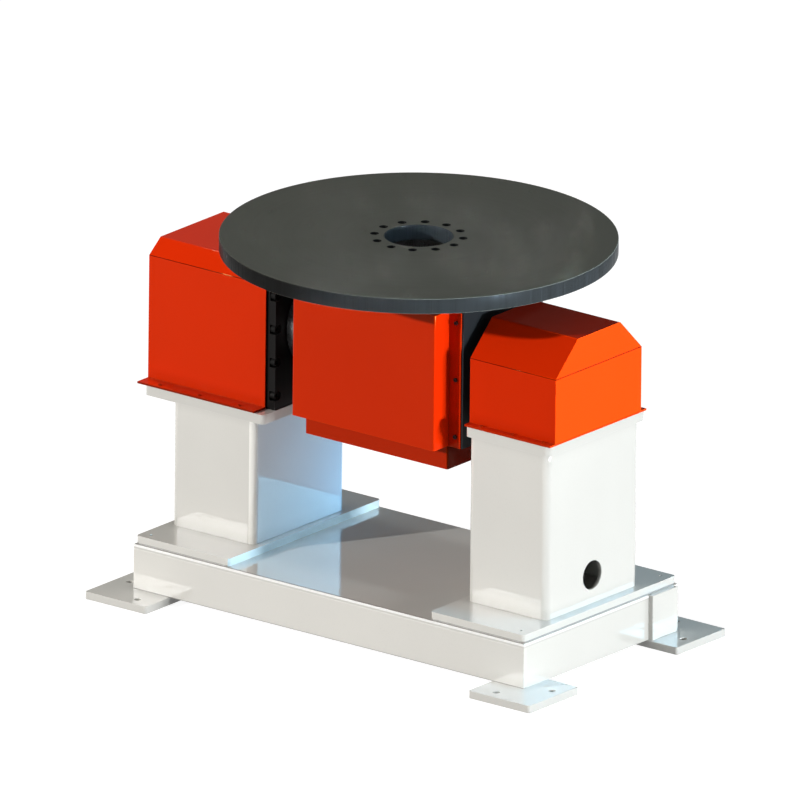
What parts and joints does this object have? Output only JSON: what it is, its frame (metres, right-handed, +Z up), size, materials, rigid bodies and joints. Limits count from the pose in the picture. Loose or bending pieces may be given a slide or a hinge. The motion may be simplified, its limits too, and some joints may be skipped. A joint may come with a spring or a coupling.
{
  "type": "welding positioner",
  "caption": "Two-axis welding positioner: a round faceplate turns on a boxed frame that tilts between two columns.",
  "frame": {"origin": "on the floor, in the middle of the anchor holes; the table axis stands 15 mm right of it and 14 mm behind it", "axes": "+X along the tilt axis from the motor column to the bearing column, +Y from front to back, +Z up"},
  "size_m": [1.413, 1, 1.007],
  "materials": {
    "white_paint": "gloss",
    "orange_paint": "gloss",
    "table_steel": "satin",
    "dark_paint": "satin",
    "machined_steel": "machined",
    "cast_grey": "painted casting",
    "motor_black": "satin",
    "screw_black": "blackened"
  },
  "bodies": {
    "stand": {"base_front_wall": "white_paint", "base_rear_wall": "white_paint", "base_end_walls": "white_paint", "base_deck": "white_paint", "base_ribs": "white_paint", "base_end_pad": "white_paint", "foot_front_left": "white_paint", "foot_front_right": "white_paint", "foot_rear_left": "white_paint", "foot_rear_right": "white_paint", "left_column_foot": "white_paint", "right_column_foot": "white_paint", "left_column": "white_paint", "right_column": "white_paint", "left_head_plate": "white_paint", "right_head_plate": "white_paint", "left_hood": "orange_paint", "right_hood": "orange_paint", "hood_screws": "screw_black", "bearing_plate": "dark_paint", "bearing_plate_gussets": "dark_paint", "bearing_plate_screws": "screw_black", "tilt_reducer_case": "cast_grey", "tilt_reducer_screws": "screw_black", "tilt_motor_adapter": "cast_grey", "tilt_motor": "motor_black", "tilt_motor_plugs": "motor_black", "bearing_block": "cast_grey", "bearing_outer_ring": "machined_steel", "bearing_caps": "cast_grey", "bearing_cap_screws": "screw_black", "bearing_block_bolts": "screw_black"},
    "tilt_frame": {"frame_left_plate": "dark_paint", "frame_right_plate": "dark_paint", "frame_top_plate": "dark_paint", "frame_bottom_plate": "dark_paint", "frame_drive_shelf": "dark_paint", "front_cover": "orange_paint", "rear_cover": "orange_paint", "cover_screws": "screw_black", "lower_tray": "orange_paint", "tilt_output_flange": "machined_steel", "right_trunnion": "machined_steel", "trunnion_screws": "screw_black", "bearing_inner_ring": "machined_steel", "bearing_rollers": "machined_steel", "trunnion_nut": "machined_steel", "slew_outer_ring": "machined_steel", "slew_rollers": "machined_steel", "slew_screws": "screw_black", "spin_reducer": "cast_grey", "spin_motor": "motor_black", "spin_motor_plugs": "motor_black"},
    "table": {"table_plate": "table_steel", "table_screws": "screw_black", "slew_inner_ring": "machined_steel", "table_hub": "machined_steel", "table_gear": "machined_steel", "gear_screws": "screw_black"},
    "pinion": {"drive_pinion": "machined_steel"}
  },
  "joints": [
    {"name": "tilt", "type": "hinge", "parent": "stand", "child": "tilt_frame", "pos_m": [0, 0.014, 0.722], "axis": [1, 0, 0], "range_deg": [-90, 90]},
    {"name": "table_spin", "type": "hinge", "parent": "tilt_frame", "child": "table", "pos_m": [0.015, 0.014, 0.98], "axis": [0, 0, 1], "continuous": true},
    {"name": "pinion_spin", "type": "hinge", "parent": "tilt_frame", "child": "pinion", "pos_m": [0.015, -0.136, 0.878], "axis": [0, 0, 1], "continuous": true}
  ],
  "couplings": [
    {"joint": "pinion_spin", "follows": "table_spin", "ratio": -4}
  ]
}
